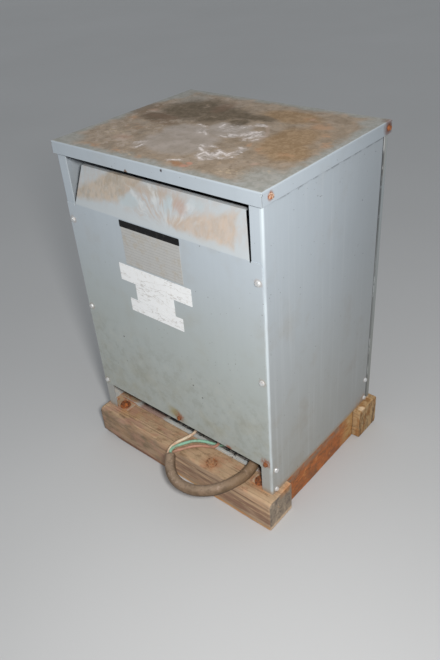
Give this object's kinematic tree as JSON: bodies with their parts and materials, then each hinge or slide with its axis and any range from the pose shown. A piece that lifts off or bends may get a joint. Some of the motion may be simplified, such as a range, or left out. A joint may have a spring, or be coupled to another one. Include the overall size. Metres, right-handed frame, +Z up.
{
  "type": "dry-type distribution transformer",
  "caption": "Ventilated dry-type distribution transformer in a sheet-steel cabinet on a timber skid, with a supply cable looped out in front.",
  "frame": {"origin": "On the floor, under the middle of the bounding box of the cabinet and its skid, measured without the cable.", "axes": "+X to the right along the front, +Y to the back, +Z up. The front is the side with the cable."},
  "size_m": [0.534, 0.5139, 0.754],
  "materials": {
    "timber": "weathered rough-sawn timber, rust stained",
    "cabinet_paint": "worn grey-blue paint, dusty",
    "rusty_steel": "rusted steel",
    "zinc_steel": "zinc-plated steel",
    "core_steel": "varnished laminations",
    "winding_resin": "varnished winding",
    "insulating_board": "insulating board",
    "pad_rubber": "black rubber",
    "lug_aluminium": "dull aluminium",
    "lead_aluminium": "varnished aluminium strip",
    "jacket_rubber": "dusty grey-brown jacket",
    "wire_white": "dirty cream insulation",
    "wire_green": "faded green insulation",
    "wire_red": "faded red insulation",
    "wire_black": "black insulation"
  },
  "bodies": {
    "root": {"skid_timber_front": "timber", "skid_timber_rear": "timber", "skid_timber_left": "timber", "skid_timber_right": "timber", "lag_bolts": "rusty_steel", "base_angle_left": "cabinet_paint", "base_angle_right": "cabinet_paint", "base_pan": "cabinet_paint", "side_panel_left": "cabinet_paint", "side_panel_right": "cabinet_paint", "front_panel": "cabinet_paint", "rear_panel": "cabinet_paint", "lid": "cabinet_paint", "panel_crossbar_front": "cabinet_paint", "panel_crossbar_rear": "cabinet_paint", "front_panel_screws": "zinc_steel", "rear_panel_screws": "zinc_steel", "side_screws_left": "zinc_steel", "side_screws_right": "zinc_steel", "lid_screws": "rusty_steel", "core": "core_steel", "coil_left": "winding_resin", "coil_middle": "winding_resin", "coil_right": "winding_resin", "coil_blocks": "insulating_board", "clamp_bottom_front": "zinc_steel", "clamp_bottom_rear": "zinc_steel", "clamp_top_front": "zinc_steel", "clamp_top_rear": "zinc_steel", "tie_bolts": "zinc_steel", "rubber_pads": "pad_rubber", "terminal_board": "insulating_board", "board_brackets": "zinc_steel", "terminal_lugs": "lug_aluminium", "winding_leads": "lead_aluminium", "ground_lug": "lug_aluminium", "cable_jacket": "jacket_rubber", "conductor_white": "wire_white", "conductor_green": "wire_green", "conductor_red": "wire_red", "conductor_black": "wire_black"}
  },
  "joints": []
}
